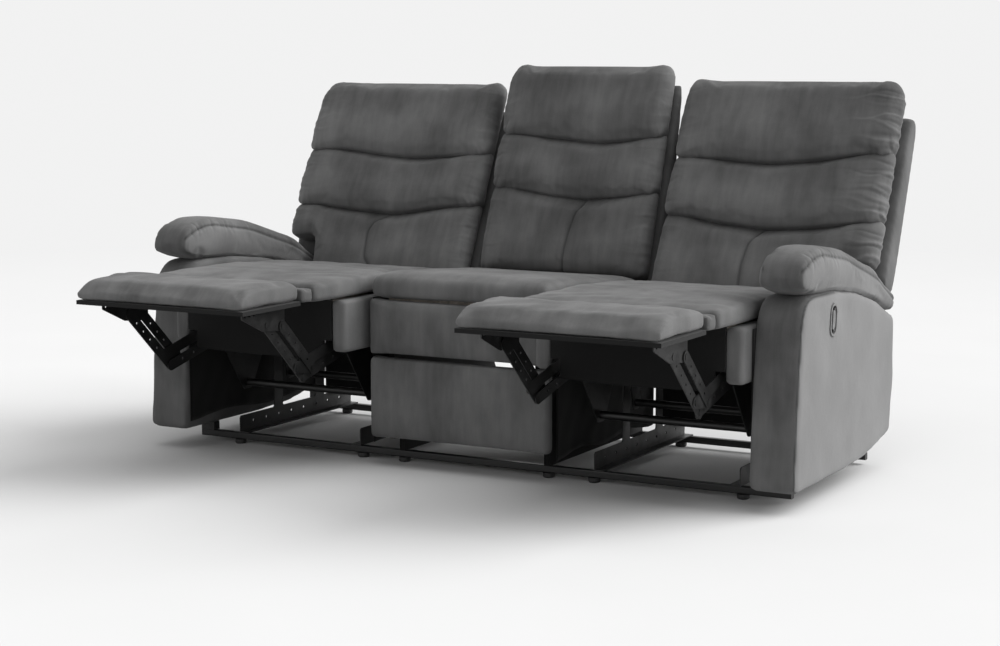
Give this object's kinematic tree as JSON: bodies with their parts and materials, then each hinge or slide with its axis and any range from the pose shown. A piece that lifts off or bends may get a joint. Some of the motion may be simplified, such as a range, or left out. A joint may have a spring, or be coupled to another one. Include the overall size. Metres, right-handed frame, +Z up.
{
  "type": "reclining sofa",
  "caption": "Upholstered reclining sofa with fixed centre seat, leaning outer backs, link-driven fold-out footrests and pull handles in the arms.",
  "frame": {"origin": "on the floor under the middle of the sofa with its footrests open", "axes": "+X to the right as seen from the front, +Y to the back, +Z up"},
  "size_m": [1.817, 1.3372, 1.0152],
  "materials": {
    "velvet": "short velvet pile over foam",
    "padded_frame": "velvet over a padded wood frame",
    "dust_cloth": "black woven dust cloth",
    "black_steel": "black powder coat",
    "black_plastic": "matt moulded",
    "grey_plastic": "satin moulded",
    "frame_wood": "raw plywood"
  },
  "bodies": {
    "base": {"front_rail": "black_steel", "rear_rail": "black_steel", "rail_plugs": "black_plastic", "glide_feet": "black_plastic", "arm_brackets": "black_steel", "centre_side_boards": "frame_wood", "centre_deck": "frame_wood", "centre_kick_panel": "velvet", "centre_front_panel": "velvet", "centre_seat_cushion": "velvet", "centre_lower_pillow": "velvet", "centre_middle_pillow": "velvet", "centre_head_pillow": "velvet", "centre_back_shell": "padded_frame", "left_base_angles": "black_steel", "left_arm": "padded_frame", "left_arm_pad": "velvet", "left_handle_bezel": "grey_plastic", "right_base_angles": "black_steel", "right_arm": "padded_frame", "right_arm_pad": "velvet", "right_handle_bezel": "grey_plastic"},
    "left_lever": {"left_release_lever": "grey_plastic"},
    "left_seat": {"left_seat_chassis": "black_steel", "left_seat_deck": "frame_wood", "left_front_board": "dust_cloth", "left_side_strips": "padded_frame", "left_seat_cushion": "velvet"},
    "left_flap": {"left_seat_flap": "velvet"},
    "left_back": {"left_back_shell": "padded_frame", "left_back_brackets": "black_steel", "left_lower_pillow": "velvet", "left_middle_pillow": "velvet", "left_head_pillow": "velvet"},
    "left_rear_links": {"left_rear_links": "black_steel"},
    "left_control_links": {"left_control_links": "black_steel"},
    "left_front_links": {"left_front_links": "black_steel"},
    "left_cross_links": {"left_cross_links": "black_steel"},
    "left_footrest": {"left_footrest_brackets": "black_steel", "left_footrest_board": "frame_wood", "left_footrest_pad": "velvet"},
    "right_lever": {"right_release_lever": "grey_plastic"},
    "right_seat": {"right_seat_chassis": "black_steel", "right_seat_deck": "frame_wood", "right_front_board": "dust_cloth", "right_side_strips": "padded_frame", "right_seat_cushion": "velvet"},
    "right_flap": {"right_seat_flap": "velvet"},
    "right_back": {"right_back_shell": "padded_frame", "right_back_brackets": "black_steel", "right_lower_pillow": "velvet", "right_middle_pillow": "velvet", "right_head_pillow": "velvet"},
    "right_rear_links": {"right_rear_links": "black_steel"},
    "right_control_links": {"right_control_links": "black_steel"},
    "right_front_links": {"right_front_links": "black_steel"},
    "right_cross_links": {"right_cross_links": "black_steel"},
    "right_footrest": {"right_footrest_brackets": "black_steel", "right_footrest_board": "frame_wood", "right_footrest_pad": "velvet"}
  },
  "joints": [
    {"name": "left_footrest_fold", "type": "hinge", "parent": "left_seat", "child": "left_rear_links", "pos_m": [-0.525, -0.13375, 0.303], "axis": [1, 0, 0], "range_deg": [0, 90]},
    {"name": "left_seat_slide", "type": "slide", "parent": "base", "child": "left_seat", "axis": [0, 1, 0], "range_m": [0, 0.1]},
    {"name": "left_control_pivot", "type": "hinge", "parent": "left_seat", "child": "left_control_links", "pos_m": [-0.525, -0.16304, 0.33023], "axis": [1, 0, 0], "range_deg": [0, 90]},
    {"name": "left_knee_pivot", "type": "hinge", "parent": "left_rear_links", "child": "left_front_links", "pos_m": [-0.525, -0.36075, 0.249], "axis": [1, 0, 0], "range_deg": [-90, 0]},
    {"name": "left_footrest_pivot", "type": "hinge", "parent": "left_front_links", "child": "left_footrest", "pos_m": [-0.525, -0.51675, 0.394], "axis": [1, 0, 0], "range_deg": [0, 90]},
    {"name": "left_cross_pivot", "type": "hinge", "parent": "left_footrest", "child": "left_cross_links", "pos_m": [-0.525, -0.45475, 0.386], "axis": [1, 0, 0], "range_deg": [-90, 0]},
    {"name": "left_flap_hinge", "type": "hinge", "parent": "left_seat", "child": "left_flap", "pos_m": [-0.525, -0.26105, 0.432], "axis": [1, 0, 0], "range_deg": [0, 90]},
    {"name": "left_back_recline", "type": "hinge", "parent": "left_seat", "child": "left_back", "pos_m": [-0.525, 0.33525, 0.335], "axis": [1, 0, 0], "range_deg": [-20, 14]},
    {"name": "left_release_lever", "type": "hinge", "parent": "base", "child": "left_lever", "pos_m": [-0.9005, 0.01469, 0.42369], "axis": [0, -0.1045, -0.9945], "range_deg": [0, 35], "stiffness_Nm_per_rad": 0.25},
    {"name": "right_footrest_fold", "type": "hinge", "parent": "right_seat", "child": "right_rear_links", "pos_m": [0.525, -0.13375, 0.303], "axis": [1, 0, 0], "range_deg": [0, 90]},
    {"name": "right_seat_slide", "type": "slide", "parent": "base", "child": "right_seat", "axis": [0, 1, 0], "range_m": [0, 0.1]},
    {"name": "right_control_pivot", "type": "hinge", "parent": "right_seat", "child": "right_control_links", "pos_m": [0.525, -0.16304, 0.33023], "axis": [1, 0, 0], "range_deg": [0, 90]},
    {"name": "right_knee_pivot", "type": "hinge", "parent": "right_rear_links", "child": "right_front_links", "pos_m": [0.525, -0.36075, 0.249], "axis": [1, 0, 0], "range_deg": [-90, 0]},
    {"name": "right_footrest_pivot", "type": "hinge", "parent": "right_front_links", "child": "right_footrest", "pos_m": [0.525, -0.51675, 0.394], "axis": [1, 0, 0], "range_deg": [0, 90]},
    {"name": "right_cross_pivot", "type": "hinge", "parent": "right_footrest", "child": "right_cross_links", "pos_m": [0.525, -0.45475, 0.386], "axis": [1, 0, 0], "range_deg": [-90, 0]},
    {"name": "right_flap_hinge", "type": "hinge", "parent": "right_seat", "child": "right_flap", "pos_m": [0.525, -0.26105, 0.432], "axis": [1, 0, 0], "range_deg": [0, 90]},
    {"name": "right_back_recline", "type": "hinge", "parent": "right_seat", "child": "right_back", "pos_m": [0.525, 0.33525, 0.335], "axis": [1, 0, 0], "range_deg": [-20, 14]},
    {"name": "right_release_lever", "type": "hinge", "parent": "base", "child": "right_lever", "pos_m": [0.9005, 0.01469, 0.42369], "axis": [0, 0.1045, 0.9945], "range_deg": [0, 35], "stiffness_Nm_per_rad": 0.25}
  ],
  "couplings": [
    {"joint": "left_seat_slide", "follows": "left_footrest_fold", "m_per_rad": 0.063662},
    {"joint": "left_control_pivot", "follows": "left_footrest_fold", "ratio": 1},
    {"joint": "left_knee_pivot", "follows": "left_footrest_fold", "ratio": -1},
    {"joint": "left_footrest_pivot", "follows": "left_footrest_fold", "ratio": 1},
    {"joint": "left_cross_pivot", "follows": "left_footrest_fold", "ratio": -1},
    {"joint": "left_flap_hinge", "follows": "left_footrest_fold", "ratio": 1},
    {"joint": "right_seat_slide", "follows": "right_footrest_fold", "m_per_rad": 0.063662},
    {"joint": "right_control_pivot", "follows": "right_footrest_fold", "ratio": 1},
    {"joint": "right_knee_pivot", "follows": "right_footrest_fold", "ratio": -1},
    {"joint": "right_footrest_pivot", "follows": "right_footrest_fold", "ratio": 1},
    {"joint": "right_cross_pivot", "follows": "right_footrest_fold", "ratio": -1},
    {"joint": "right_flap_hinge", "follows": "right_footrest_fold", "ratio": 1}
  ]
}
